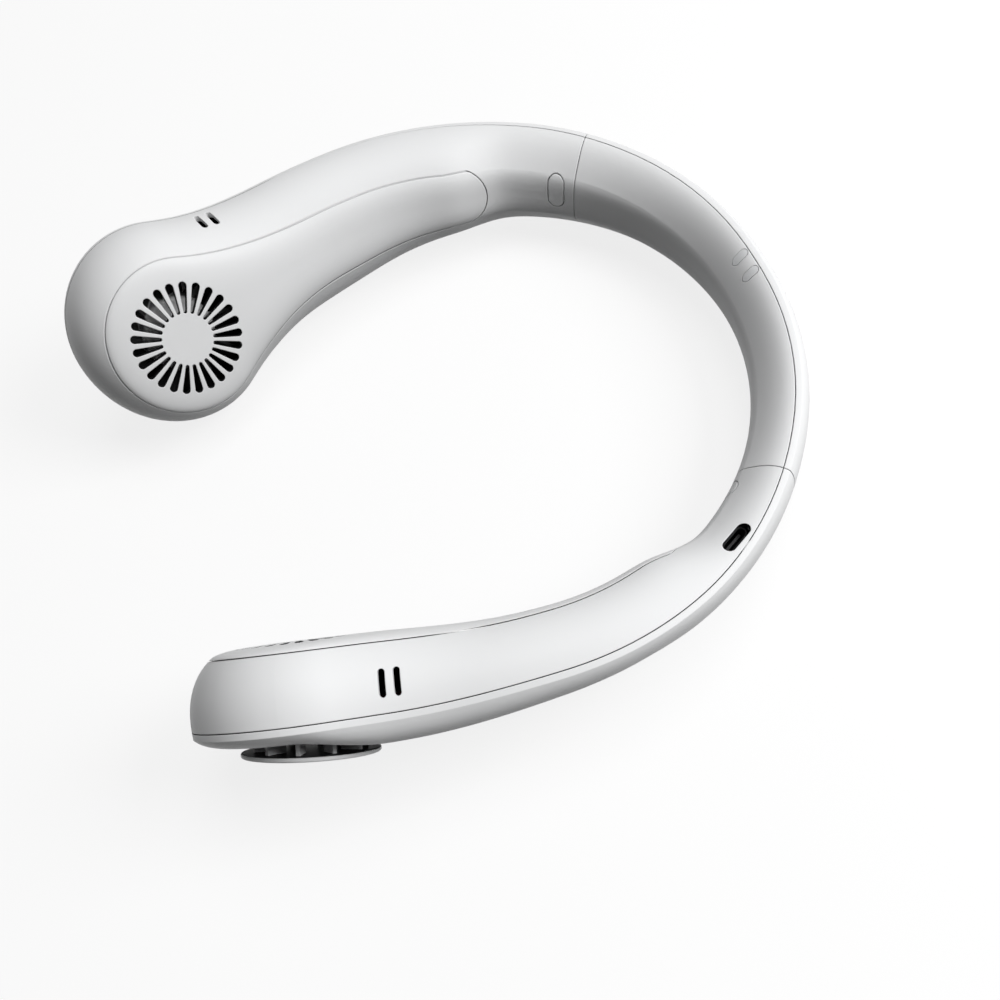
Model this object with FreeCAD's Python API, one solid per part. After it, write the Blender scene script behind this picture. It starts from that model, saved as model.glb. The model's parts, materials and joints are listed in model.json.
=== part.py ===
import FreeCAD, Part
import math
import os

# Neck fan: two hollow arms with a fan head each, joined by a band behind the neck.
# Millimetres. The left arm (+X) is drawn first and mirrored in the YZ plane.
# Frame: +Z up as it lies on a table, heads towards -Y, band towards +Y.

# Centreline in plan, from the nape to a head
nape_r = 84.1           # radius of the loop round the neck
nape_sweep = 98.0       # degrees of that loop on each side of the nape
arm_r = 274.0           # radius of the flatter run of the arm
arm_sweep = 9.2         # degrees of the flatter run
head_run = 25.7         # straight run up to the head's axis

# Roll of the section about the centreline, degrees
nape_roll = -8.8
head_roll = 25.4
roll_ease = 1.43

# Section: half height at its widest and half height of the inner face
band_half = 15.4
neck_half = 20.2
head_r = 30.0
head_blend = 85.0       # concave radius from the head's circle into the arm
band_face = 7.3
neck_face = 9.5
head_face_r = 22.7
face_blend = 95.0
grow_start = 87.4       # distance from the nape where the arm's height starts to grow
grow_run = 88.0         # run over which it grows

# Inner face: depth from the centreline, and how far it drops towards its edges
band_in = 6.6
arm_in = 11.8
head_in = 13.4
band_crown = 1.3
arm_crown = 1.2
head_crown = 2.0
step_start = 91.4       # rise of the inner face at the lid's band end
step_run = 24.6
head_start = 150.0      # run over which the arm deepens into the head
head_grow = 45.0
crown_flat = 0.25       # flat middle of the inner face, as a share of the run to its shoulder

# Outer face: depth from the centreline, crease and bevel along its edges
band_out = 9.2
arm_out = 10.8
head_out = 11.9
out_start = 53.0
out_run = 59.0
belly = 3.2             # swelling of the outer cover beside the intake cap
belly_from = 24.0       # its crest, from the head's axis
belly_run = 73.0        # run from the crest to nothing along the arm
edge_bulge = 0.9        # how far the edge wall's curve is drawn outwards
band_rise = -0.7        # how far it is drawn towards the inner face, on the band
arm_rise = 3.5          # and on the arm
crease_in = 0.2         # set-in of the crease
crease_h = 3.0          # crease above the outer face
bevel_w = 8.4           # bevel from the crease to the outer face
bevel_lift = 0.3

# Shell
wall = 1.8
seam = 0.25             # visible gap between two shells
lid_lip = 0.6           # edge of the lid above its seam
cover_depth = 4.9       # outer face up to the cover's seam
cross_at = 69.3         # joint between band and arm, from the nape
lid_end_at = 110.0      # centre of the lid's round end
lid_end_r = 9.0

# Openings in the shell
slot_count = 25
slot_r_in = 7.7
slot_r_out = 16.8
slot_w_in = 1.1
slot_w_out = 2.4
vent_from_head = 26.3   # pair of side slots, from the head's axis
vent_pitch = 3.6
vent_len = 7.2
vent_w = 1.75
vent_offset = 0.6
intake_r = 15.6

# Raised intake cap
cap_r = 18.4
cap_t = 1.3
cap_gap = 3.8
cap_lean = 5.0          # degrees the cap leans towards the arm
cap_dome = 0.5
rib_count = 10
rib_r_in = 9.0
rib_t = 1.1
cap_ring_t = 1.0
cap_clear = 0.15

# Fan unit, along the head's axis from the middle of the head
mount_top = -5.6
mount_t = 1.5
mount_hub_r = 9.0
mount_arm_w = 4.4
mount_boss_at = 21.0
mount_arm_count = 3
sleeve_r = 2.5
sleeve_top = 3.6
shaft_r = 0.75
shaft_fit = 0.04        # running clearance of the shaft in its sleeve
shaft_lift = 0.5
stator_r = 8.2
stator_low = -3.4
stator_t = 5.2
pole_count = 6
pole_w = 2.6
coil_w = 1.1
rotor_gap = 0.6
magnet_t = 1.1
hub_wall = 1.1
hub_top = 6.2
hub_low = -4.0
blade_r = 20.4
blade_count = 9
blade_t = 1.0
blade_lean = 38.0       # degrees a blade leans along the turn
blade_low = -3.6
blade_high = 6.0

# Cell in each arm
cell_r = 7.0
cell_len = 50.0
cell_at = 154.0
cell_offset = -0.4
terminal_r = 2.6
terminal_t = 0.9
pad_len = 9.0
pad_w = 9.0
pad_spread = 15.0
cell_clear = 0.05

# Push button and its switch
button_at = 75.8
button_side = 2.3       # offset along the section's height
button_len = 10.4
button_w = 5.0
button_gap = 0.3
button_travel = 0.4
stem_r = 1.6
stem_end = 1.5          # end of the stem above the centreline
plunger_r = 1.7
plunger_end = -0.3
switch_side = 6.0
switch_top = 0.9
switch_clear = 0.3

# Boards and charging socket
board_t = 1.2
board_top = -3.8
switch_board = (-3.8, 6.4, -4.4, 8.0)    # from and to along the arm, from and to across it
switch_posts = [(4.4, -2.4), (4.4, 6.0)]
charge_board = (-6.6, 6.6, -5.6, 11.4)
charge_posts = [(-4.4, -3.4), (4.4, -3.4)]
post_r = 1.8
port_at = 92.0
port_offset = -2.2
port_len = 9.7
port_w = 3.6
socket_len = 8.9
socket_deep = 7.3
socket_wall = 0.35
socket_mouth = 12.2     # mouth of the socket above the centreline
tongue_len = 6.6
tongue_t = 0.7
tongue_deep = 4.6

# Band
core_half = 4.0
core_t = 0.6
core_to = 59.0
part_clear = 0.06
plug_in = 9.0
plug_out = 2.4
plug_clear = 0.2
plug_wall = 1.8
window_at = 3.4
window_len = 4.8
window_w = 2.6
window_offset = -1.4
window_gap = 0.15
loom_r = 1.0
loom_rise = 5.2
lead_r = 0.8
lead_low = -9.6         # motor leads pass below the cell

# Screws
screw_r = 0.8
screw_head_r = 1.5
screw_head_t = 1.0
screw_len = 3.6
screw_clear = 0.05

V = FreeCAD.Vector
nape_run = nape_r * math.radians(nape_sweep)
arm_run = arm_r * math.radians(arm_sweep)
half_run = nape_run + arm_run + head_run


def ease(t):
    t = min(1.0, max(0.0, t))
    return t * t * (3.0 - 2.0 * t)


def plan(l):
    """Point and heading of the centreline, l from the nape towards the left head."""
    turn = math.radians(nape_sweep)
    end = turn + math.radians(arm_sweep)
    arm_centre = V((nape_r - arm_r) * math.sin(turn), (nape_r - arm_r) * math.cos(turn) - nape_r, 0)
    if l <= nape_run:
        h = l / nape_r
        return V(nape_r * math.sin(h), nape_r * math.cos(h) - nape_r, 0), h
    if l <= nape_run + arm_run:
        h = turn + (l - nape_run) / arm_r
        return arm_centre + V(arm_r * math.sin(h), arm_r * math.cos(h), 0), h
    start = arm_centre + V(arm_r * math.sin(end), arm_r * math.cos(end), 0)
    along = l - nape_run - arm_run
    return start + V(along * math.cos(end), -along * math.sin(end), 0), end


def axes(l):
    """Origin, along (to the head), height and inward directions of the section at l."""
    p, h = plan(abs(l))
    u = min(1.0, abs(l) / (nape_run + arm_run))
    roll = math.radians(nape_roll + (head_roll - nape_roll) * math.sin(math.pi / 2 * u) ** roll_ease)
    along = V(math.cos(h), -math.sin(h), 0)
    inward = V(-math.sin(h), -math.cos(h), 0)
    up = V(0, 0, 1)
    n = inward * math.cos(roll) + up * math.sin(roll)
    e = up * math.cos(roll) - inward * math.sin(roll)
    if l < 0:
        p, along, n, e = [V(-v.x, v.y, v.z) for v in (p, along, n, e)]
        along = along * -1.0
    return p, along, e, n


def at(l, e, n):
    p, along, height, inner = axes(l)
    return p + height * e + inner * n


def frame(l):
    """Placement with X along the arm, Y up the section and Z inwards."""
    p, x, y, z = axes(l)
    return FreeCAD.Placement(FreeCAD.Matrix(x.x, y.x, z.x, p.x, x.y, y.y, z.y, p.y,
                                            x.z, y.z, z.z, p.z, 0, 0, 0, 1))


def placed(shape, l):
    moved = shape.copy()
    moved.Placement = frame(l).multiply(moved.Placement)
    return moved


def spoon(d, r, neck, blend, arm):
    """Half height at distance d from the head's axis: circle, concave blend, arm."""
    far = math.sqrt((r + blend) ** 2 - (neck + blend) ** 2)
    if d <= far * r / (r + blend):
        return math.sqrt(max(0.0, r * r - d * d))
    if d < far:
        return arm + blend - math.sqrt(blend ** 2 - (far - d) ** 2)
    return arm


def sizes(l):
    """Half height at its widest and half height of the inner face at l."""
    l = abs(l)
    d = max(0.0, half_run - l)
    grow = ease((l - grow_start) / grow_run)
    a = spoon(d, head_r, neck_half, head_blend, band_half + (neck_half - band_half) * grow)
    f = spoon(d, head_face_r, neck_face, face_blend, band_face + (neck_face - band_face) * grow)
    return a, f


def inner_side(l):
    """Depth of the inner face at its middle, and its crown, at l."""
    rise = ease((abs(l) - step_start) / step_run)
    head = ease((abs(l) - head_start) / head_grow)
    depth = band_in + (arm_in - band_in) * rise + (head_in - arm_in) * head
    crown = band_crown + (arm_crown - band_crown) * rise + (head_crown - arm_crown) * head
    return depth, crown


def outer_side(l):
    """Depth of the outer face that the crease follows, and the belly beyond it, at l."""
    l = abs(l)
    depth = band_out + (arm_out - band_out) * ease((l - out_start) / out_run)
    depth += (head_out - arm_out) * ease((l - head_start) / head_grow)
    off = half_run - belly_from - l
    t = off / (belly_run if off > 0 else belly_from)
    return depth, belly * max(0.0, 1.0 - t * t) ** 2


def edge_rise(l):
    """How far the edge wall's curve is drawn towards the inner face at l."""
    return band_rise + (arm_rise - band_rise) * ease((abs(l) - step_start) / step_run)


def half_outline(l, inset):
    """Poles of the section's curves on its upper half, from inner face to outer face."""
    a, f = sizes(l)
    high, crown = inner_side(l)
    low, swell = outer_side(l)
    a, f, high, low = a - inset, f - inset, high - inset, low - inset
    top = (f, high - crown)
    crease = (a - crease_in, crease_h - low)
    pull = (a + edge_bulge, (top[1] + crease[1]) / 2.0 + edge_rise(l))
    tangent_run = crown * (pull[0] - f) / (top[1] - pull[1])
    shoulder = (max(0.3 * f, f - tangent_run), high)
    flat = (crown_flat * shoulder[0], high)
    foot = (a - crease_in - bevel_w + 0.5 * inset, -low - swell)
    bend = (a - crease_in - 0.3 * bevel_w, foot[1] + bevel_lift)
    return [[(0, high), flat], [flat, shoulder, top], [top, pull, crease],
            [crease, bend, foot], [foot, (0, foot[1])]]


def curve(points):
    if len(points) == 2:
        return Part.makeLine(points[0], points[1])
    bent = Part.BezierCurve()
    bent.setPoles(points)
    return bent.toShape()


def section(l, inset):
    upper = half_outline(l, inset)
    lower = [[(-e, n) for e, n in reversed(part)] for part in reversed(upper)]
    inner = [lower[-1][0], upper[0][1]]
    outer = [upper[-1][0], lower[0][1]]
    parts = [inner] + upper[1:4] + [outer] + lower[1:4]
    return Part.Wire([curve([at(l, e, n) for e, n in part]) for part in parts])


def tip(inset):
    """Round end of the head, the half section turned about the head's axis."""
    p, along, height, inner = axes(half_run)
    parts = half_outline(half_run, inset)
    parts.append([parts[-1][1], parts[0][0]])
    half = Part.Face(Part.Wire([curve([at(half_run, e, n) for e, n in part]) for part in parts]))
    return half.revolve(p, inner, -180)


def spread(start, end, count):
    return [start + (end - start) * i / (count - 1) for i in range(count)]


head_steps = [0.0, 0.16, 0.32, 0.48, 0.64, 0.8, 0.92, 0.97, 1.0]
arm_stations = spread(cross_at - 12, half_run - 1.3 * head_run, 17)
arm_stations += [half_run - head_run * (1 - s) for s in head_steps]
band_stations = spread(-cross_at - 12, cross_at + 12, 15)
layer_stations = spread(cross_at - 14, half_run - head_run, 46)
layer_stations += [half_run - 0.75 * head_run, half_run - 0.4 * head_run, half_run, half_run + 42]


def arm_body(inset):
    return Part.makeLoft([section(l, inset) for l in arm_stations], True).fuse(tip(inset))


def band_body(inset):
    return Part.makeLoft([section(l, inset) for l in band_stations], True)


def slab(stations, low, high, half):
    """Layer that follows the section between two depths, low and high as functions of l."""
    wires = []
    for l in stations:
        corners = [at(l, -half, low(l)), at(l, half, low(l)), at(l, half, high(l)), at(l, -half, high(l))]
        wires.append(Part.makePolygon(corners + corners[:1]))
    return Part.makeLoft(wires, True, True)


def past_cross(l, clear, sign):
    """Block on the head side (sign 1) or band side (sign -1) of the cross seam."""
    box = Part.makeBox(300, 300, 300, V(clear if sign > 0 else -300 - clear, -150, -150))
    return placed(box, l)


def cover_zone(stations, lift):
    low = lambda l: -sum(outer_side(l)) - 6
    high = lambda l: cover_depth + lift - outer_side(l)[0]
    return slab(stations, low, high, 46)


def lid_zone(lift):
    """Space of the lid: a layer from its round end to past the head."""
    low = lambda l: inner_side(l)[0] - inner_side(l)[1] - lid_lip + lift
    high = lambda l: inner_side(l)[0] + 5
    main = slab([lid_end_at] + [l for l in layer_stations if l > lid_end_at], low, high, 46)
    short = slab(spread(lid_end_at - 14, lid_end_at, 8), low, high, 30)
    round_end = placed(Part.makeCylinder(lid_end_r - lift, 60, V(0, 0, -30)), lid_end_at)
    return main.fuse(short.common(round_end))


def pill(length, width, deep, low):
    """Flat block with round ends, length along Y."""
    r = width / 2.0
    h = length / 2.0 - r
    ends = [Part.makeCylinder(r, deep, V(0, s * h, low)) for s in (-1, 1)]
    return Part.makeBox(width, 2 * h, deep, V(-r, -h, low)).multiFuse(ends).removeSplitter()


def ring(r_out, r_in, low, high):
    inside = Part.makeCylinder(r_in, high - low, V(0, 0, low))
    return Part.makeCylinder(r_out, high - low, V(0, 0, low)).cut(inside)


def around(shape, count, start=0.0):
    copies = []
    for i in range(count):
        turned = shape.copy()
        turned.rotate(V(0, 0, 0), V(0, 0, 1), start + 360.0 * i / count)
        copies.append(turned)
    return copies


def grille_slot():
    """Tapered slot along X with round ends, cut through the lid."""
    r0, r1 = slot_w_in / 2.0, slot_w_out / 2.0
    x0, x1 = slot_r_in + r0, slot_r_out - r1
    tilt = math.asin((r1 - r0) / (x1 - x0))
    s, c = math.sin(tilt), math.cos(tilt)
    low0, up0 = V(x0 - r0 * s, -r0 * c, 0), V(x0 - r0 * s, r0 * c, 0)
    low1, up1 = V(x1 - r1 * s, -r1 * c, 0), V(x1 - r1 * s, r1 * c, 0)
    outline = Part.Wire([Part.makeLine(low0, low1), Part.Arc(low1, V(x1 + r1, 0, 0), up1).toShape(),
                         Part.makeLine(up1, up0), Part.Arc(up0, V(x0 - r0, 0, 0), low0).toShape()])
    prism = Part.Face(outline).extrude(V(0, 0, 12))
    prism.translate(V(0, 0, head_in - 6))
    return prism


def edge_slot(length, width, deep, turn=0.0):
    """Round-ended slot up through the vent edge, its length along Z, or along X at a turn of 90."""
    block = pill(length, width, deep, 0)
    block.rotate(V(0, 0, 0), V(0, 0, 1), turn)
    block.rotate(V(0, 0, 0), V(1, 0, 0), -90)
    return block


def screw(tip_at, length):
    """Pan-head screw along +Z, the end of its shank at tip_at."""
    x, y, z = tip_at
    shank = Part.makeCylinder(screw_r, length, V(x, y, z))
    return shank.fuse(Part.makeCylinder(screw_head_r, screw_head_t, V(x, y, z + length))).removeSplitter()


def mount_places():
    step = 2 * math.pi / mount_arm_count
    angles = [math.pi / 2 + step * i for i in range(mount_arm_count)]
    return [(mount_boss_at * math.cos(q), mount_boss_at * math.sin(q)) for q in angles]


def sketch_box(span, low, high):
    x0, x1, y0, y1 = span
    return Part.makeBox(x1 - x0, y1 - y0, high - low, V(x0, y0, low))


def post(x, y, low, high):
    """Screw post of a cover, bored from its top for a screw."""
    bore = screw_len - board_t + 0.4
    body = Part.makeCylinder(post_r, high - low, V(x, y, low))
    return body.cut(Part.makeCylinder(screw_r + screw_clear, bore, V(x, y, high - bore)))


def post_base(l):
    """Depth of a post's foot, sunk into the cover's wall."""
    return wall - sum(outer_side(l)) - 0.6


def leaned(shape):
    """Turned with the intake cap, its arm side outwards."""
    turned = shape.copy()
    turned.rotate(V(0, 0, -head_out), V(0, 1, 0), -cap_lean)
    return turned


def board(span, posts):
    plate = sketch_box(span, board_top - board_t, board_top)
    holes = [Part.makeCylinder(screw_r + screw_clear, 4, V(x, y, board_top - 3)) for x, y in posts]
    return plate.cut(holes)


def board_screws(posts):
    return Part.makeCompound([screw((x, y, board_top - screw_len), screw_len) for x, y in posts])


def wire(points, r):
    """Round wire along straight runs joined by tangent arcs as large as the runs allow."""
    edges = []
    start = points[0]
    for before, corner, after in zip(points, points[1:], points[2:]):
        back = before - corner
        on = after - corner
        reach = 0.45 * min(back.Length, on.Length)
        enter = corner + back.normalize() * reach
        leave = corner + on.normalize() * reach
        half_angle = back.getAngle(on) / 2.0
        inwards = (back + on).normalize()
        middle = corner + inwards * (reach / math.cos(half_angle) - reach * math.tan(half_angle))
        edges.append(Part.makeLine(start, enter))
        edges.append(Part.Arc(enter, middle, leave).toShape())
        start = leave
    edges.append(Part.makeLine(start, points[-1]))
    rim = Part.Wire(Part.makeCircle(r, points[0], points[1] - points[0]))
    return Part.Wire(edges).makePipeShell([rim], True, False)


outer = arm_body(0.0)
cavity = arm_body(wall)
shell = outer.cut(cavity).common(past_cross(cross_at, seam / 2.0, 1))
parts = {}

# Arm shells: housing with both edges, grille lid on the inner face, cover on the outer face
housing = shell.cut(cover_zone(layer_stations, seam / 2.0)).cut(lid_zone(-seam / 2.0))
lid = shell.common(lid_zone(seam / 2.0))
cover = shell.common(cover_zone(layer_stations, -seam / 2.0))

lid = lid.cut([placed(s, half_run) for s in around(grille_slot(), slot_count, 90.0)])

vents = []
for step in (-0.5, 0.5):
    vent = edge_slot(vent_len, vent_w, 40)
    vent.translate(V(0, 0, vent_offset))
    vents.append(placed(vent, half_run - vent_from_head + step * vent_pitch))
button_hole = pill(button_len + 2 * button_gap, button_w + 2 * button_gap, 20, 0)
button_hole.translate(V(0, button_side, 0))
housing = housing.cut(vents + [placed(button_hole, button_at)])

port_hole = edge_slot(port_len, port_w, 40, 90)
port_hole.translate(V(0, 0, port_offset))
ported_housing = housing.cut(placed(port_hole, port_at))

mount_low = mount_top - mount_t
bosses = [post(x, y, post_base(half_run + x), mount_low) for x, y in mount_places()]
intake = leaned(Part.makeCylinder(intake_r, 12, V(0, 0, -head_out - 8)))
cover = cover.cut(placed(intake, half_run))
cover = cover.fuse([placed(s, half_run) for s in bosses])
board_low = board_top - board_t
cover = cover.fuse([placed(post(x, y, post_base(button_at), board_low), button_at) for x, y in switch_posts])
posts = [placed(post(x, y, post_base(port_at), board_low), port_at) for x, y in charge_posts]

# Raised cap over the air intake: a disc on ribs, set into the cover's hole by a ring
cap_top = -head_out - cap_gap
disc = Part.makeCylinder(cap_r, cap_t, V(0, 0, cap_top - cap_t))
disc = disc.makeFillet(cap_dome, [e for e in disc.Edges if e.Length > cap_r])
collar_r = intake_r - cap_clear
collar = ring(collar_r, collar_r - cap_ring_t, -head_out, wall - head_out)
rib_run = collar_r - 0.5 * cap_ring_t - rib_r_in
rib = Part.makeBox(rib_run, rib_t, cap_gap + wall, V(rib_r_in, -rib_t / 2.0, cap_top))
cap = leaned(disc.fuse([collar] + around(rib, rib_count, 90.0)).removeSplitter())

# Motor: mount with three arms, sleeve, wound stator, magnet, shaft
hub_in = stator_r + rotor_gap + magnet_t + part_clear
hub_r = hub_in + hub_wall
arm_bar = Part.makeBox(mount_boss_at, mount_arm_w, mount_t, V(0, -mount_arm_w / 2.0, mount_low))
arm_end = Part.makeCylinder(mount_arm_w / 2.0, mount_t, V(mount_boss_at, 0, mount_low))
spider = Part.makeCylinder(mount_hub_r, mount_t, V(0, 0, mount_low))
spider = spider.fuse(around(arm_bar.fuse(arm_end), mount_arm_count, 90.0)).removeSplitter()
mount_hole = Part.makeCylinder(screw_r + screw_clear, mount_t, V(mount_boss_at, 0, mount_low))
motor_mount = spider.cut(around(mount_hole, mount_arm_count, 90.0))
mount_screw = screw((mount_boss_at, 0, mount_top - screw_len), screw_len)
mount_screws = Part.makeCompound(around(mount_screw, mount_arm_count, 90.0))

sleeve = ring(sleeve_r, shaft_r + shaft_fit, mount_top, sleeve_top)
stator_high = stator_low + stator_t
pole = Part.makeBox(stator_r - 1.6, pole_w, stator_t, V(1.0, -pole_w / 2.0, stator_low))
shoe_gap = Part.makeBox(stator_r, 1.8, stator_t, V(stator_r - 2.0, -0.9, stator_low))
shoe_r = stator_r - 1.2
shoes = ring(stator_r, shoe_r, stator_low, stator_high)
shoes = shoes.cut(around(shoe_gap, pole_count, 180.0 / pole_count))
core = Part.makeCylinder(stator_r / 2.0, stator_t, V(0, 0, stator_low))
core = core.fuse(around(pole, pole_count) + [shoes])
bore = Part.makeCylinder(sleeve_r + part_clear, stator_t, V(0, 0, stator_low))
stator = core.removeSplitter().cut(bore)
coil_from = stator_r / 2.0 + 0.9
coil_run = math.sqrt((shoe_r - part_clear) ** 2 - (pole_w / 2.0 + coil_w) ** 2) - coil_from
coil = Part.makeBox(coil_run, pole_w + 2 * coil_w, stator_t + 2 * coil_w,
                    V(coil_from, -pole_w / 2.0 - coil_w, stator_low - coil_w))
coil_eye = Part.makeBox(coil_run, pole_w + 2 * part_clear, stator_t + 2 * part_clear,
                        V(coil_from, -pole_w / 2.0 - part_clear, stator_low - part_clear))
coils = Part.makeCompound(around(coil.cut(coil_eye), pole_count))
magnet = ring(hub_in - part_clear, stator_r + rotor_gap, stator_low - 0.3, stator_high + 0.3)
shaft = Part.makeCylinder(shaft_r, hub_top - mount_top - shaft_lift, V(0, 0, mount_top + shaft_lift))

# Impeller: cup over the motor with leaning blades
cup = Part.makeCylinder(hub_r, hub_top - hub_low, V(0, 0, hub_low))
cup = cup.makeFillet(1.2, [e for e in cup.Edges if e.BoundBox.ZMin > hub_top - 0.1])
cup = cup.cut(Part.makeCylinder(hub_in, hub_top - hub_wall - hub_low, V(0, 0, hub_low)))
boss_low = sleeve_top + 0.5
cup = cup.fuse(Part.makeCylinder(sleeve_r, hub_top - hub_wall / 2.0 - boss_low, V(0, 0, boss_low)))
blade_mid = (blade_low + blade_high) / 2.0
blade_tall = blade_high - blade_low
blade = Part.makeBox(blade_r, blade_t, 2 * blade_tall, V(0, -blade_t / 2.0, -blade_tall))
blade.rotate(V(0, 0, 0), V(1, 0, 0), blade_lean)
blade.translate(V(0, 0, blade_mid))
blade = blade.common(ring(blade_r, hub_r - 0.3, blade_low, blade_high))
impeller = cup.fuse(around(blade, blade_count))
impeller = impeller.cut(Part.makeCylinder(shaft_r + part_clear, 30, V(0, 0, -15)))

# Cell on two foam pads that follow the cover's inside
cell_axis = Part.makeCylinder(cell_r, cell_len, V(-cell_len / 2.0, 0, cell_offset), V(1, 0, 0))
terminal = Part.makeCylinder(terminal_r, terminal_t, V(cell_len / 2.0, 0, cell_offset), V(1, 0, 0))
rounded = cell_axis.makeFillet(0.6, [e for e in cell_axis.Edges if e.Length > cell_len / 2.0 and e.Closed])
cell = rounded.fuse(terminal).removeSplitter()
room = Part.makeCylinder(cell_r + cell_clear, cell_len, V(-cell_len / 2.0, 0, cell_offset), V(1, 0, 0))
pads = []
for side in (-1, 1):
    block = Part.makeBox(pad_len, pad_w, 18, V(side * pad_spread - pad_len / 2.0, -pad_w / 2.0, -20))
    pads.append(placed(block.cut(room), cell_at).common(cavity).Solids[0])

# Push button: a flush piece of the inner face on a stem, over the plunger of a tact switch
button_block = pill(button_len, button_w, 20, 0)
button_block.translate(V(0, button_side, 0))
stem = Part.makeCylinder(stem_r, band_in - wall + 0.6 - stem_end, V(0, button_side, stem_end))
button = shell.common(placed(button_block, button_at)).fuse(placed(stem, button_at))
plunger = Part.makeCylinder(plunger_r, stem_end - plunger_end, V(0, button_side, plunger_end))
case = Part.makeBox(switch_side, switch_side, switch_top - board_top,
                    V(-switch_side / 2.0, button_side - switch_side / 2.0, board_top))
well_low = plunger_end - 2 * button_travel
well = Part.makeCylinder(plunger_r + switch_clear, 10, V(0, button_side, well_low))
switch_case = case.cut(well)

# Charging socket on its board, left arm only
socket_w = 2 * (port_offset - board_top)
socket_block = edge_slot(socket_len, socket_w, socket_deep, 90)
socket_inside = edge_slot(socket_len - 2 * socket_wall, socket_w - 2 * socket_wall, socket_deep, 90)
socket_inside.translate(V(0, socket_wall, 0))
socket_shell = socket_block.cut(socket_inside)
socket_shell.translate(V(0, socket_mouth - socket_deep, port_offset))
tongue_low = socket_mouth - socket_deep + socket_wall
tongue = Part.makeBox(tongue_len, tongue_deep, tongue_t,
                      V(-tongue_len / 2.0, tongue_low, port_offset - tongue_t / 2.0))


def leads(start):
    """Pair of motor leads in one sleeve, from the board to an arm of the motor mount."""
    rest = mount_top + lead_r + part_clear
    return wire([at(start, lead_low + 2.0, -2.0), at(130.0, lead_low, -3.6), at(cell_at, lead_low, -3.6),
                 at(half_run - 1.6 * head_run, lead_low, -4.2), at(half_run - 22.0, lead_low + 2.6, rest),
                 at(half_run - 13.0, lead_low + 3.6, rest)], lead_r)


left = {
    "grille_lid": lid, "intake_cap": placed(cap, half_run),
    "motor_mount": placed(motor_mount, half_run), "motor_screws": placed(mount_screws, half_run),
    "shaft_sleeve": placed(sleeve, half_run), "stator": placed(stator, half_run),
    "stator_coils": placed(coils, half_run), "rotor_magnet": placed(magnet, half_run),
    "rotor_shaft": placed(shaft, half_run), "impeller": placed(impeller, half_run),
    "battery_cell": placed(cell, cell_at), "battery_pads": Part.makeCompound(pads),
    "push_button": button, "switch_plunger": placed(plunger, button_at),
    "switch_case": placed(switch_case, button_at),
    "switch_board": placed(board(switch_board, switch_posts), button_at),
    "switch_screws": placed(board_screws(switch_posts), button_at),
}

# Joint plugs that join an arm to the band
plug_span = spread(cross_at - plug_in, cross_at + plug_out, 4)
plug_body = Part.makeLoft([section(l, wall + plug_clear) for l in plug_span], True)
plug_bore = Part.makeLoft([section(l, wall + plug_clear + plug_wall) for l in plug_span], True)
left["joint_plug"] = plug_body.cut(plug_bore)

for name, shape in left.items():
    parts[name + "_left"] = shape
    parts[name + "_right"] = shape.mirror(V(0, 0, 0), V(1, 0, 0))

mirrored = {"arm_housing": (ported_housing, housing), "outer_cover": (cover.fuse(posts), cover),
            "motor_leads": (leads(102.0), leads(87.0))}
for name, (left_shape, right_shape) in mirrored.items():
    parts[name + "_left"] = left_shape
    parts[name + "_right"] = right_shape.mirror(V(0, 0, 0), V(1, 0, 0))

parts["charge_board"] = placed(board(charge_board, charge_posts), port_at)
parts["charge_screws"] = placed(board_screws(charge_posts), port_at)
parts["usb_socket_shell"] = placed(socket_shell, port_at)
parts["usb_socket_tongue"] = placed(tongue, port_at)

# Band: inner housing and outer cover, two small windows in its upper edge, steel core, wire loom
band_outer = band_body(0.0)
band_shell = band_outer.cut(band_body(wall))
for side in (-1, 1):
    band_shell = band_shell.common(past_cross(side * cross_at, seam / 2.0, -side))
band_zone_stations = spread(-cross_at - 14, cross_at + 14, 33)
band_housing = band_shell.cut(cover_zone(band_zone_stations, seam / 2.0))
parts["band_cover"] = band_shell.common(cover_zone(band_zone_stations, -seam / 2.0))
for side, name in ((1, "nape_window_left"), (-1, "nape_window_right")):
    hole = edge_slot(window_len + 2 * window_gap, window_w + 2 * window_gap, 30)
    pane = edge_slot(window_len, window_w, 30)
    hole.translate(V(0, 0, window_offset))
    pane.translate(V(0, 0, window_offset))
    band_housing = band_housing.cut(placed(hole, side * window_at))
    parts[name] = band_shell.common(placed(pane, side * window_at))
parts["band_housing"] = band_housing

core_low = lambda l: wall + part_clear - outer_side(l)[0]
parts["band_core"] = slab(spread(-core_to, core_to, 25), core_low, lambda l: core_low(l) + core_t, core_half)
loom_end = button_at + switch_board[0] - 0.4
loom = [at(l, -core_half, loom_rise - outer_side(l)[0]) for l in spread(-loom_end, loom_end, 13)]
parts["wire_loom"] = wire(loom, loom_r)

# Lie on the table: the heads and the band touch it, the origin is under the middle of the object
head_drop = -tip(0.0).optimalBoundingBox(True, False).ZMin
nape_drop = -section(0.0, 0.0).optimalBoundingBox(True, False).ZMin
rest_tilt = math.degrees(math.atan2(head_drop - nape_drop, -plan(half_run)[0].y))
rest = FreeCAD.Placement(V(0, 0, 0), FreeCAD.Rotation(V(1, 0, 0), -rest_tilt))


def rested(shape):
    moved = shape.copy()
    moved.Placement = rest.multiply(moved.Placement)
    return moved


box = FreeCAD.BoundBox()
for name in ("arm_housing_left", "outer_cover_left", "band_housing", "band_cover"):
    box.add(rested(parts[name]).optimalBoundingBox(True, False))
rest.Base = V(0, -(box.YMin + box.YMax) / 2.0, -box.ZMin)

os.makedirs("parts", exist_ok=True)
for name, shape in parts.items():
    solids = rested(shape).Solids
    whole = solids[0] if len(solids) == 1 else Part.makeCompound(solids)
    whole.exportStep("parts/" + name + ".step")
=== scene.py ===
import json
import math

import bmesh
import bpy
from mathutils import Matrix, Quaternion, Vector


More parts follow.
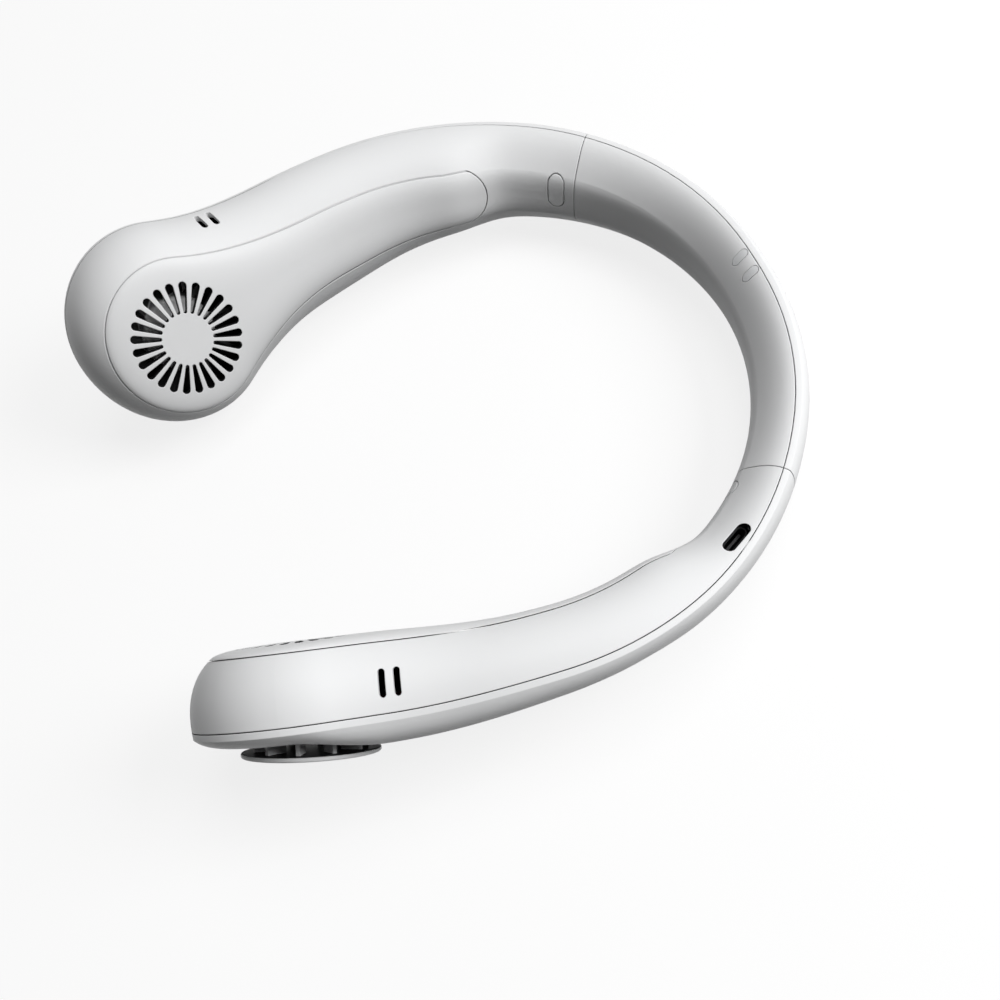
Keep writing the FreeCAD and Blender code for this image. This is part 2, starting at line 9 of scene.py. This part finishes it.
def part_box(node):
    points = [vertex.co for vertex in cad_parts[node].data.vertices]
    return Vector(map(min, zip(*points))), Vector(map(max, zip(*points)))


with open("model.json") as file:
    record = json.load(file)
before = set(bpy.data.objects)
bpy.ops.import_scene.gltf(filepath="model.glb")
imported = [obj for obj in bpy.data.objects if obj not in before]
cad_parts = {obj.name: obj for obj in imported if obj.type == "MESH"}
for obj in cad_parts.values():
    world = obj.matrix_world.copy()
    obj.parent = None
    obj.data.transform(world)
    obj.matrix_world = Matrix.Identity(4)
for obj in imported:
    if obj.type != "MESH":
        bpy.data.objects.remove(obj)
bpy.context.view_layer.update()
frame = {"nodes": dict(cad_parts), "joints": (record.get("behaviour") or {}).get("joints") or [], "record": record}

nodes = frame["nodes"]
joints = {joint["name"]: joint for joint in frame["joints"]}


# Shells of the two arms and of the band
# Injection-moulded white plastic with a fine satin texture. Each arm is a housing with both edges and
# a cover on the outer face, and the band has two half shells; all snap together with fine seams.
class Value:
    """One output of a shader node; sums and products of values add Math nodes."""

    def __init__(self, tree, socket):
        self.tree = tree
        self.socket = socket

    def math(self, operation, first, second):
        return self.tree.add("ShaderNodeMath", {"operation": operation}, {0: first, 1: second})

    def __add__(self, other):
        return self.math("ADD", self, other)

    def __radd__(self, other):
        return self.math("ADD", other, self)

    def __sub__(self, other):
        return self.math("SUBTRACT", self, other)

    def __rsub__(self, other):
        return self.math("SUBTRACT", other, self)

    def __mul__(self, other):
        return self.math("MULTIPLY", self, other)

    def __rmul__(self, other):
        return self.math("MULTIPLY", other, self)


class Tree:
    """The nodes of a material or of the world."""

    def __init__(self, data):
        data.use_nodes = True
        self.nodes = data.node_tree.nodes
        self.links = data.node_tree.links

    def link(self, socket, value):
        """Link a value to a socket, or set a plain number or colour on it."""
        if isinstance(value, Value):
            self.links.new(value.socket, socket)
        else:
            socket.default_value = value

    def add(self, kind, settings=None, values=None, output=0):
        """Add a node with its settings and the values of its sockets; gives one of its outputs."""
        node = self.nodes.new(kind)
        for key, value in (settings or {}).items():
            setattr(node, key, value)
        for key, value in (values or {}).items():
            self.link(node.inputs[key], value)
        return Value(self, node.outputs[output])


class Finish(Tree):
    """A procedural material: one shader and the nodes that feed it."""

    def __init__(self, name, **constants):
        self.material = bpy.data.materials.new(name)
        super().__init__(self.material)
        self.shader = self.nodes["Principled BSDF"]
        for socket, value in constants.items():
            self.feed(socket.replace("_", " "), value)

    def feed(self, socket, value):
        self.link(self.shader.inputs[socket], value)

    def place(self):
        return self.add("ShaderNodeTexCoord", output="Object")

    def facing(self):
        return self.add("ShaderNodeNewGeometry", output="True Normal")

    def rounded(self, radius):
        """Normal with the edges rounded to a radius."""
        return self.add("ShaderNodeBevel", {"samples": 8}, {"Radius": radius})

    def noise(self, size, detail=2.0):
        """Soft noise from 0 to 1 with features of the given size in metres."""
        values = {"Vector": self.place(), "Scale": 1.0 / size, "Detail": detail}
        return self.add("ShaderNodeTexNoise", values=values)

    def between(self, low, high, share):
        """Colour between two others."""
        values = {"Factor": share, 6: low, 7: high}
        return self.add("ShaderNodeMix", {"data_type": "RGBA"}, values, output=2)

    def mottle(self, dark, pale, patch):
        """Colour that wanders between two tones in patches of a size."""
        return self.between(dark, pale, self.noise(patch))

    def colour(self, dark, pale, patch):
        self.feed("Base Color", self.mottle(dark, pale, patch))

    def roughness(self, least, spread, patch):
        self.feed("Roughness", least + spread * self.noise(patch))

    def relief(self, height, depth, strength, normal=None):
        """Raise the surface by a height from 0 to 1 times a depth in metres."""
        values = {"Height": height, "Distance": depth, "Strength": strength}
        if normal is not None:
            values["Normal"] = normal
        self.feed("Normal", self.add("ShaderNodeBump", values=values))

    def step(self, value, start, end):
        """0 below start, 1 above end, smooth between."""
        values = {"Value": value, "From Min": start, "From Max": end}
        return self.add("ShaderNodeMapRange", {"interpolation_type": "SMOOTHSTEP"}, values)

    def fade(self, value, start, end):
        """1 below start, 0 above end, smooth between."""
        return 1.0 - self.step(value, start, end)

    def vector(self, operation, values, output="Vector"):
        return self.add("ShaderNodeVectorMath", {"operation": operation}, values, output)

    def dot(self, first, second):
        return self.vector("DOT_PRODUCT", {0: first, 1: second}, "Value")

    def from_point(self, point):
        return self.vector("SUBTRACT", {0: self.place(), 1: tuple(point)})

    def along(self, centre, axis):
        """Distance from a centre, measured along an axis through it."""
        return self.dot(self.from_point(centre), tuple(axis))

    def off(self, centre, axis):
        """Distance from an axis through a centre."""
        foot = self.vector("SCALE", {0: tuple(axis), "Scale": self.along(centre, axis)})
        across = self.vector("SUBTRACT", {0: self.from_point(centre), 1: foot})
        return self.vector("LENGTH", {0: across}, "Value")

    def hollow(self, start, end):
        """1 on faces that look at the line from start to end, which runs inside a shell, where shade is painted; 0
        elsewhere.
        """
        turned = (0.1, 0.25)     # how squarely a face looks at the line
        reached = (0.1, 0.2)     # share of the line that is passed
        run = end - start
        share = self.along(start, run / run.length_squared)
        held = self.add("ShaderNodeClamp", values={"Value": share})
        foot = self.vector("SCALE", {0: tuple(run), "Scale": held})
        across = self.vector("SUBTRACT", {0: foot, 1: self.from_point(start)})
        way = self.vector("NORMALIZE", {0: across})
        return self.step(self.dot(way, self.facing()), *turned) * self.step(share, *reached)


def either(first, second):
    """1 where at least one of two masks is 1."""
    return 1.0 - (1.0 - first) * (1.0 - second)


def middle(node):
    """Middle of a CAD piece's box."""
    low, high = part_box(node)
    return (Vector(low) + Vector(high)) / 2


def fan_line(side):
    """Centre and direction of the axis that one fan turns about."""
    joint = joints["fan_spin_" + side]
    return Vector(joint["pos_m"]), Vector(joint["axis"])


def wear(node, finish):
    """Give a CAD piece its finish."""
    for slot in nodes[node].material_slots:
        slot.material = finish.material


sides = ("left", "right")
plastic_ior = 1.47
white_dark = (0.75, 0.755, 0.76, 1)
white_pale = (0.785, 0.79, 0.795, 1)
white_patch = 0.045
# Painted shade: near black laid on faces deep inside the shells
painted_shade_black = (0.012, 0.012, 0.013, 1)
edge_round = 0.0004
grain = 0.0003


def moulded_white(name):
    """Satin white moulding with rounded edges and a fine grain; gives the finish and its colour."""
    finish = Finish(name, IOR=plastic_ior, Specular_IOR_Level=0.12)
    finish.roughness(least=0.38, spread=0.10, patch=0.006)
    edge = finish.rounded(edge_round)
    finish.relief(finish.noise(grain), depth=0.00002, strength=0.25, normal=edge)
    return finish, finish.mottle(white_dark, white_pale, white_patch)


band_white, tone = moulded_white("band white")
band_white.feed("Base Color", tone)
for node in ("band_housing", "band_cover"):
    wear(node, band_white)

inlet_side = "left"
inlet_lean = (0.03, 0.08)
inlet_reach = (0.0055, 0.006)
for side in sides:
    head = fan_line(side)[0]
    arm_white, tone = moulded_white("arm white " + side)
    # Faces inside the arm that look at the line from its cell to its head are painted black as shade
    dark = arm_white.hollow(middle("battery_cell_" + side), head)
    if side == inlet_side:
        # The walls of the charging inlet's slot are painted black as shade
        inlet = frame["record"]["mounts"][0]
        lean = arm_white.dot(arm_white.facing(), tuple(inlet["axis"]))
        near = arm_white.fade(arm_white.off(inlet["pos_m"], inlet["axis"]), *inlet_reach)
        dark = either(dark, arm_white.fade(lean * lean, *inlet_lean) * near)
    arm_white.feed("Base Color", arm_white.between(tone, painted_shade_black, dark))
    for node in ("arm_housing_", "outer_cover_", "intake_cap_"):
        wear(node + side, arm_white)


# Grille lids
# The lid on the inner face of each arm, a moulding of the same white plastic, snapped into the housing
# with a fine seam. The walls of its grille's slots and its faces inside the arm are painted black as shade.
grille_r = 0.018
grille_fade = 0.0004
slot_lean = (0.3, 0.6)
for side in sides:
    head, axis = fan_line(side)
    lid_white, tone = moulded_white("lid white " + side)
    lean = lid_white.dot(lid_white.rounded(edge_round), tuple(axis))
    near = lid_white.fade(lid_white.off(head, axis), grille_r, grille_r + grille_fade)
    slot_wall = lid_white.fade(lean, *slot_lean) * near
    dark = either(lid_white.hollow(middle("battery_cell_" + side), head), slot_wall)
    lid_white.feed("Base Color", lid_white.between(tone, painted_shade_black, dark))
    wear("grille_lid_" + side, lid_white)


# Push buttons and the two small windows in the band's upper edge
# The buttons are pills of the same white plastic, flush with the arm. The windows are fixed inserts of
# a milky plastic, a little greyer than the shell.
button_white, tone = moulded_white("button white")
button_white.feed("Base Color", tone)
milky_depth = 0.002
milky = Finish("milky window", IOR=1.49, Subsurface_Weight=0.2, Subsurface_Radius=(milky_depth,) * 3)
milky.colour(dark=(0.68, 0.69, 0.70, 1), pale=(0.74, 0.75, 0.76, 1), patch=0.003)
milky.roughness(least=0.25, spread=0.1, patch=0.0008)
for side in sides:
    wear("push_button_" + side, button_white)
    wear("nape_window_" + side, milky)


# Impellers
# A moulded cup over each motor with leaning blades round it. The cup is painted pale as light behind
# the grille, and the blades are painted dark as the shade deep in the head.
hub_r = 0.0112
hub_fade = 0.0005
hub_patch = 0.003
for side in sides:
    head, axis = fan_line(side)
    grey = Finish("impeller grey_" + side, IOR=plastic_ior)
    lit_hub = grey.mottle(dark=(0.74, 0.745, 0.75, 1), pale=(0.8, 0.805, 0.81, 1), patch=hub_patch)
    shaded_blade = grey.mottle(dark=(0.04, 0.04, 0.042, 1), pale=(0.065, 0.065, 0.068, 1), patch=hub_patch)
    # Painted light on the cup and painted shade on the blades, split by distance from the axis
    outside = grey.step(grey.off(head, axis), hub_r, hub_r + hub_fade)
    grey.feed("Base Color", grey.between(lit_hub, shaded_blade, outside))
    grey.roughness(least=0.4, spread=0.12, patch=0.002)
    wear("impeller_" + side, grey)


# Motors
# A sintered magnet ring and a steel shaft turn with the impeller, over a wound stator of stacked sheet on
# a brass sleeve. A black three-armed mount, screwed to posts of the cover, carries the fixed half.
black = Finish("black moulding", IOR=plastic_ior, Specular_IOR_Level=0.3)
black.colour(dark=(0.012, 0.012, 0.013, 1), pale=(0.025, 0.025, 0.027, 1), patch=0.002)
black.roughness(least=0.5, spread=0.15, patch=0.0008)
steel = Finish("plated steel", Metallic=1.0)
steel.colour(dark=(0.5, 0.5, 0.5, 1), pale=(0.62, 0.62, 0.63, 1), patch=0.0012)
steel.roughness(least=0.28, spread=0.15, patch=0.0006)
magnet = Finish("sintered magnet")
magnet.colour(dark=(0.06, 0.06, 0.065, 1), pale=(0.11, 0.11, 0.115, 1), patch=0.0005)
magnet.roughness(least=0.6, spread=0.15, patch=0.0004)
sheet_t = 0.00035
sheet_dark = (0.16, 0.16, 0.17, 1)
sheet_pale = (0.36, 0.36, 0.37, 1)
wire_t = 0.00028
wire_dark = (0.34, 0.12, 0.04, 1)
wire_pale = (0.7, 0.33, 0.13, 1)
cut_pitch = 0.0002
cut_smooth = 0.22
cut_rough = 0.12


def lines(value, pitch):
    """0 to 1 and back once for each pitch of a value."""
    turn = value * (2.0 * math.pi / pitch)
    return 0.5 + 0.5 * value.tree.add("ShaderNodeMath", {"operation": "SINE"}, {0: turn})


for side in sides:
    head, axis = fan_line(side)

    # Stator: edges of the stacked sheets
    core_steel = Finish("stacked sheet steel_" + side, Metallic=1.0)
    sheet = lines(core_steel.along(head, axis), sheet_t)
    core_steel.feed("Base Color", core_steel.between(sheet_dark, sheet_pale, sheet))
    core_steel.roughness(least=0.4, spread=0.2, patch=0.0005)
    core_steel.relief(sheet, depth=0.00005, strength=0.5)
    wear("stator_" + side, core_steel)

    # Coils: turns of enamelled wire round each pole
    copper = Finish("enamelled copper_" + side, Metallic=1.0)
    turn = lines(copper.off(head, axis), wire_t)
    copper.feed("Base Color", copper.between(wire_dark, wire_pale, turn))
    copper.roughness(least=0.28, spread=0.2, patch=0.0004)
    copper.relief(turn, depth=0.0001, strength=0.8)
    wear("stator_coils_" + side, copper)

    # Sleeve: brass with the fine rings of turning
    brass = Finish("turned brass_" + side, Metallic=1.0)
    cut = lines(brass.along(head, axis), cut_pitch)
    brass.colour(dark=(0.6, 0.43, 0.18, 1), pale=(0.72, 0.54, 0.26, 1), patch=0.001)
    brass.feed("Roughness", cut_smooth + cut_rough * cut)
    brass.relief(cut, depth=0.00001, strength=0.4)
    wear("shaft_sleeve_" + side, brass)

    wear("motor_mount_" + side, black)
    wear("motor_screws_" + side, steel)
    wear("rotor_shaft_" + side, steel)
    wear("rotor_magnet_" + side, magnet)


# Cells and their pads
# One round cell in each arm, wrapped in a shrunk blue film that leaves its plated ends bare. It rests on
# two pads of black foam.
foam = Finish("black foam", IOR=1.4)
foam.colour(dark=(0.015, 0.015, 0.015, 1), pale=(0.05, 0.05, 0.05, 1), patch=0.0005)
foam.roughness(least=0.85, spread=0.1, patch=0.0005)
foam.relief(foam.noise(size=0.0004), depth=0.0002, strength=0.8)
end_share = 0.6
plated_lean = (0.8, 0.9)
plated_tone = (0.6, 0.6, 0.61, 1)
for side in sides:
    # The cell's axis runs through the middle of its far end
    cell = "battery_cell_" + side
    centre = middle(cell)
    spokes = [vertex.co - centre for vertex in nodes[cell].data.vertices]
    tip = max(spokes, key=lambda spoke: spoke.length)
    end = [spoke for spoke in spokes if spoke.dot(tip) > end_share * tip.length_squared]
    cell_axis = sum(end, Vector()).normalized()
    wrap = Finish("cell wrap_" + side, IOR=1.5)
    lean = wrap.dot(wrap.facing(), tuple(cell_axis))
    plated = wrap.step(lean * lean, *plated_lean)
    film = wrap.mottle(dark=(0.03, 0.12, 0.3, 1), pale=(0.05, 0.16, 0.36, 1), patch=0.003)
    wrap.feed("Base Color", wrap.between(film, plated_tone, plated))
    wrap.feed("Metallic", plated)
    wrap.roughness(least=0.25, spread=0.1, patch=0.001)
    wear(cell, wrap)
    wear("battery_pads_" + side, foam)


# Boards and switches
# Small boards in green lacquer with raised traces, held by screws. One under each button carries a tact
# switch in a black case, and the third carries the charging socket.
board_green = Finish("lacquered board", IOR=1.5)
trace_patch = 0.006
trace_pitch = 0.09
trace_edge = (0.72, 0.8)
trace_green = (0.03, 0.22, 0.1, 1)
trace = board_green.step(lines(board_green.noise(trace_patch, detail=0.0), trace_pitch), *trace_edge)
lacquer = board_green.mottle(dark=(0.01, 0.1, 0.05, 1), pale=(0.014, 0.13, 0.065, 1), patch=0.0015)
board_green.feed("Base Color", board_green.between(lacquer, trace_green, trace))
board_green.roughness(least=0.35, spread=0.1, patch=0.001)
board_green.relief(trace, depth=0.00004, strength=0.6)
for side in sides:
    wear("switch_board_" + side, board_green)
    wear("switch_case_" + side, black)
    wear("switch_plunger_" + side, black)
    wear("switch_screws_" + side, steel)
wear("charge_board", board_green)
wear("charge_screws", steel)


# Charging inlet
# A drawn steel shell and a black moulded tongue, set back in the slot of the left arm's edge. The shell
# is painted near black as the shade deep in the slot.
# The shell's near black colour is painted shade
shade_black_steel = Finish("steel painted black as shade", IOR=1.45, Specular_IOR_Level=0.2)
shade_black_steel.colour(dark=(0.008, 0.008, 0.008, 1), pale=(0.016, 0.016, 0.017, 1), patch=0.001)
shade_black_steel.roughness(least=0.55, spread=0.15, patch=0.0006)
wear("usb_socket_shell", shade_black_steel)
wear("usb_socket_tongue", black)


# Wires, band core and joint plugs
# Wires in red insulation run from arm to arm and from the boards to the motors. A blued steel strip gives
# the band its spring, and hollow grey plugs join the arms to it.
insulation = Finish("wire insulation", IOR=1.5)
insulation.colour(dark=(0.2, 0.02, 0.02, 1), pale=(0.28, 0.03, 0.03, 1), patch=0.002)
insulation.roughness(least=0.4, spread=0.1, patch=0.001)
blued = Finish("blued spring steel", Metallic=1.0)
blued.colour(dark=(0.16, 0.18, 0.23, 1), pale=(0.26, 0.28, 0.33, 1), patch=0.004)
blued.roughness(least=0.35, spread=0.15, patch=0.001)
inner_grey = Finish("grey moulding", IOR=plastic_ior)
inner_grey.colour(dark=(0.36, 0.36, 0.37, 1), pale=(0.42, 0.42, 0.43, 1), patch=0.004)
inner_grey.roughness(least=0.45, spread=0.1, patch=0.001)
for side in sides:
    wear("motor_leads_" + side, insulation)
    wear("joint_plug_" + side, inner_grey)
wear("wire_loom", insulation)
wear("band_core", blued)


# Floor
# A pale table top. The camera and glossy or clear pieces see it near white with the fan's shadow on it,
# and it throws little light back on the fan.
table_size = 6.0
shown_white = 0.82
shadow_white = 0.95
thrown_back = 0.05
table_mesh = bpy.data.meshes.new("table")
table_top = bmesh.new()
bmesh.ops.create_grid(table_top, x_segments=1, y_segments=1, size=table_size / 2)
table_top.to_mesh(table_mesh)
table_top.free()
table = bpy.data.objects.new("table", table_mesh)
bpy.context.collection.objects.link(table)


def even(tone):
    """Grey of one tone."""
    return (tone, tone, tone, 1)


def looked_at(tree):
    """1 for rays from the camera and from glossy or clear pieces; 0 for light on its way to the fan."""
    kinds = ("Is Camera Ray", "Is Glossy Ray", "Is Transmission Ray")
    camera_ray, glossy_ray, clear_ray = (tree.add("ShaderNodeLightPath", output=kind) for kind in kinds)
    return camera_ray + glossy_ray + clear_ray


paper = Finish("white table", Base_Color=even(thrown_back), Roughness=0.9)
lit = paper.add("ShaderNodeBsdfDiffuse", values={"Color": even(shadow_white)})
glow = paper.add("ShaderNodeEmission", values={"Color": even(1.0), "Strength": 1.0})
shown = paper.add("ShaderNodeMixShader", values={0: shown_white, 1: lit, 2: glow})
matt = Value(paper, paper.shader.outputs[0])
surface = paper.add("ShaderNodeMixShader", values={0: looked_at(paper), 1: matt, 2: shown})
paper.link(paper.nodes["Material Output"].inputs["Surface"], surface)
table_mesh.materials.append(paper.material)


# Light and camera
# A white studio that gives little light itself, two soft lamps above and behind the fan, and two weak
# ones at its front and side. The camera stands above the fan at the photograph's angle.
studio_fill = 0.05
world = bpy.data.worlds.new("studio")
bpy.context.scene.world = world
studio = Tree(world)
dim = studio.nodes["Background"]
studio.link(dim.inputs["Color"], even(1.0))
studio.link(dim.inputs["Strength"], studio_fill)
white = studio.add("ShaderNodeBackground", values={"Color": even(shown_white), "Strength": 1.0})
unlit = Value(studio, dim.outputs[0])
backdrop = studio.add("ShaderNodeMixShader", values={0: looked_at(studio), 1: unlit, 2: white})
studio.link(studio.nodes["World Output"].inputs["Surface"], backdrop)

lamp_aim = Vector((0, 0, 0.03))


def turned_to(aim, place):
    """Turn of a lamp or camera at a place that looks at an aim."""
    return (aim - Vector(place)).to_track_quat("-Z", "Y")


def lamp(name, place, size, power):
    """Soft square light over the fan."""
    data = bpy.data.lights.new(name, "AREA")
    data.shape = "SQUARE"
    data.size = size
    data.energy = power
    piece = bpy.data.objects.new(name, data)
    piece.location = place
    piece.rotation_mode = "QUATERNION"
    piece.rotation_quaternion = turned_to(lamp_aim, place)
    bpy.context.collection.objects.link(piece)


lamp("key", place=(0.28, 0.7, 0.66), size=0.5, power=8.8)
lamp("top", place=(-0.1, 0.3, 0.95), size=0.5, power=3.6)
lamp("front fill", place=(0.7, -0.65, 0.4), size=0.6, power=0.5)
lamp("side fill", place=(-0.9, -0.2, 0.4), size=0.6, power=0.8)

camera_place = Vector((0.191955, -0.007109, 0.290545))
camera_aim = Vector((0.08151, -0.004957, 0.0))
camera_roll = math.radians(-23.8419)
focal_px = 1071.33
middle_px = (567.06, 674.09)
image_px = 1000.0
lens = bpy.data.cameras.new("camera")
lens.sensor_width = 36.0
lens.lens = lens.sensor_width * focal_px / image_px
lens.shift_x = 0.5 - middle_px[0] / image_px
lens.shift_y = middle_px[1] / image_px - 0.5
lens.clip_start = 0.005
camera = bpy.data.objects.new("camera", lens)
camera.location = camera_place
camera.rotation_mode = "QUATERNION"
level = turned_to(camera_aim, camera_place)
camera.rotation_quaternion = level @ Quaternion((0, 0, 1), camera_roll)
bpy.context.collection.objects.link(camera)
bpy.context.scene.camera = camera
bpy.context.scene.view_settings.view_transform = "Standard"
